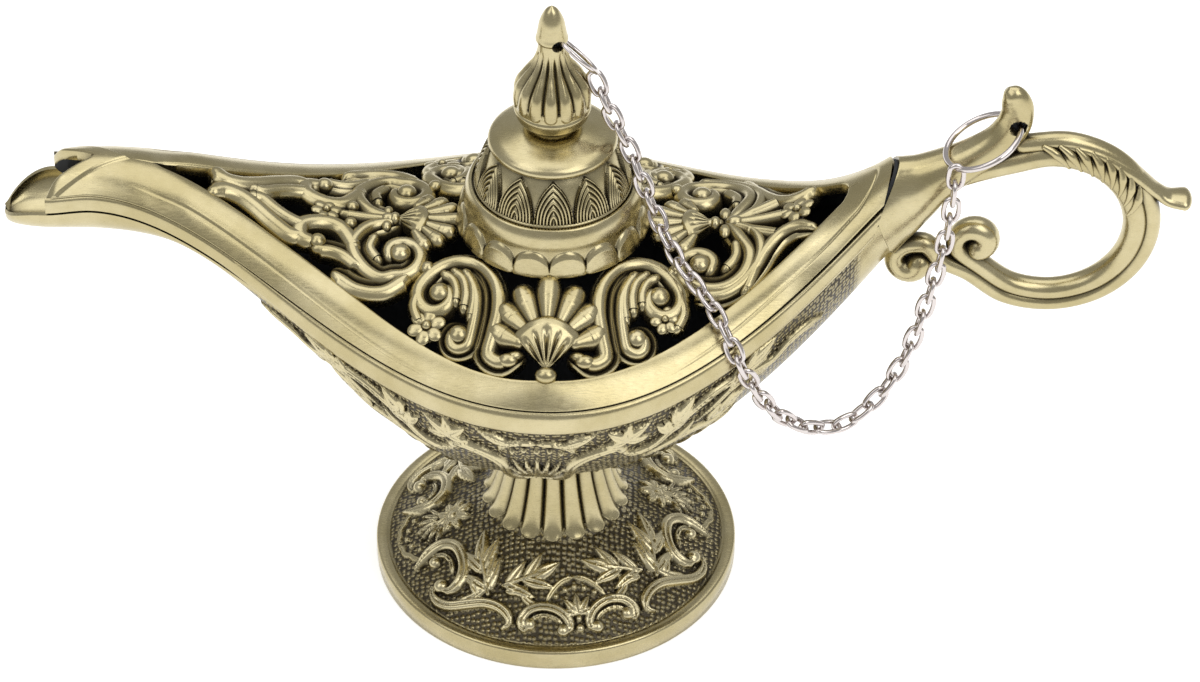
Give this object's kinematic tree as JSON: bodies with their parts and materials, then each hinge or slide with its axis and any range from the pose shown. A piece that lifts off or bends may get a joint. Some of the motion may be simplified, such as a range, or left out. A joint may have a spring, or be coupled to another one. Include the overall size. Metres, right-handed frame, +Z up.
{
  "type": "lamp-shaped incense burner",
  "caption": "Boat-shaped incense burner on a fluted stem and round foot, with ring handle, lift-off pierced scrollwork cover and a lift-out finial cap kept by a fine chain.",
  "frame": {"origin": "centre of the foot's underside, on the surface that the burner stands on", "axes": "+X towards the handle and -X towards the spout, +Y to the back, +Z up"},
  "size_m": [0.2054, 0.0746, 0.1224],
  "materials": {
    "brass": "antique brushed, dark in the recesses",
    "chain": "bright nickel plate",
    "pad": "felt",
    "screw": "plain"
  },
  "bodies": {
    "lamp": {"foot": "brass", "base_pad": "pad", "stem_screw": "screw", "bowl": "brass", "handle": "brass", "handle_ring": "chain", "chain_link_01": "chain", "chain_link_02": "chain", "chain_link_03": "chain", "chain_link_04": "chain", "chain_link_05": "chain", "chain_link_06": "chain", "chain_link_07": "chain", "chain_link_08": "chain", "chain_link_09": "chain", "chain_link_10": "chain", "chain_link_11": "chain", "chain_link_12": "chain", "chain_link_13": "chain", "chain_link_14": "chain", "chain_link_15": "chain", "chain_link_16": "chain", "chain_link_17": "chain", "chain_link_18": "chain", "chain_link_19": "chain", "chain_link_20": "chain", "chain_link_21": "chain", "chain_link_22": "chain", "chain_link_23": "chain", "chain_link_24": "chain", "chain_link_25": "chain", "chain_link_26": "chain", "chain_link_27": "chain", "chain_link_28": "chain", "chain_link_29": "chain", "chain_link_30": "chain", "chain_link_31": "chain", "chain_link_32": "chain", "chain_link_33": "chain", "chain_link_34": "chain", "chain_link_35": "chain", "chain_link_36": "chain", "chain_link_37": "chain", "chain_link_38": "chain", "chain_link_39": "chain", "chain_link_40": "chain", "chain_link_41": "chain", "chain_link_42": "chain", "chain_link_43": "chain"},
    "cover": {"cover_rim": "brass", "neck_ring": "brass", "grille_front": "brass", "grille_back": "brass", "grille_spout": "brass", "grille_handle": "brass"},
    "cap": {"cap": "brass", "finial": "brass", "finial_ring": "chain"}
  },
  "joints": [
    {"name": "cover_lift", "type": "slide", "parent": "lamp", "child": "cover", "axis": [0, 0, 1], "range_m": [0, 0.03], "deforming": ["chain_link_01", "chain_link_02", "chain_link_03", "chain_link_04", "chain_link_05", "chain_link_06", "chain_link_07", "chain_link_08", "chain_link_09", "chain_link_10", "chain_link_11", "chain_link_12", "chain_link_13", "chain_link_14", "chain_link_15", "chain_link_16", "chain_link_17", "chain_link_18", "chain_link_19", "chain_link_20", "chain_link_21", "chain_link_22", "chain_link_23", "chain_link_24", "chain_link_25", "chain_link_26", "chain_link_27", "chain_link_28", "chain_link_29", "chain_link_30", "chain_link_31", "chain_link_32", "chain_link_33", "chain_link_34", "chain_link_35", "chain_link_36", "chain_link_37", "chain_link_38", "chain_link_39", "chain_link_40", "chain_link_41", "chain_link_42", "chain_link_43"]},
    {"name": "cap_lift", "type": "slide", "parent": "cover", "child": "cap", "axis": [0, 0, 1], "range_m": [0, 0.02], "deforming": ["chain_link_01", "chain_link_02", "chain_link_03", "chain_link_04", "chain_link_05", "chain_link_06", "chain_link_07", "chain_link_08", "chain_link_09", "chain_link_10", "chain_link_11", "chain_link_12", "chain_link_13", "chain_link_14", "chain_link_15", "chain_link_16", "chain_link_17", "chain_link_18", "chain_link_19", "chain_link_20", "chain_link_21", "chain_link_22", "chain_link_23", "chain_link_24", "chain_link_25", "chain_link_26", "chain_link_27", "chain_link_28", "chain_link_29", "chain_link_30", "chain_link_31", "chain_link_32", "chain_link_33", "chain_link_34", "chain_link_35", "chain_link_36", "chain_link_37", "chain_link_38", "chain_link_39", "chain_link_40", "chain_link_41", "chain_link_42", "chain_link_43"]}
  ]
}
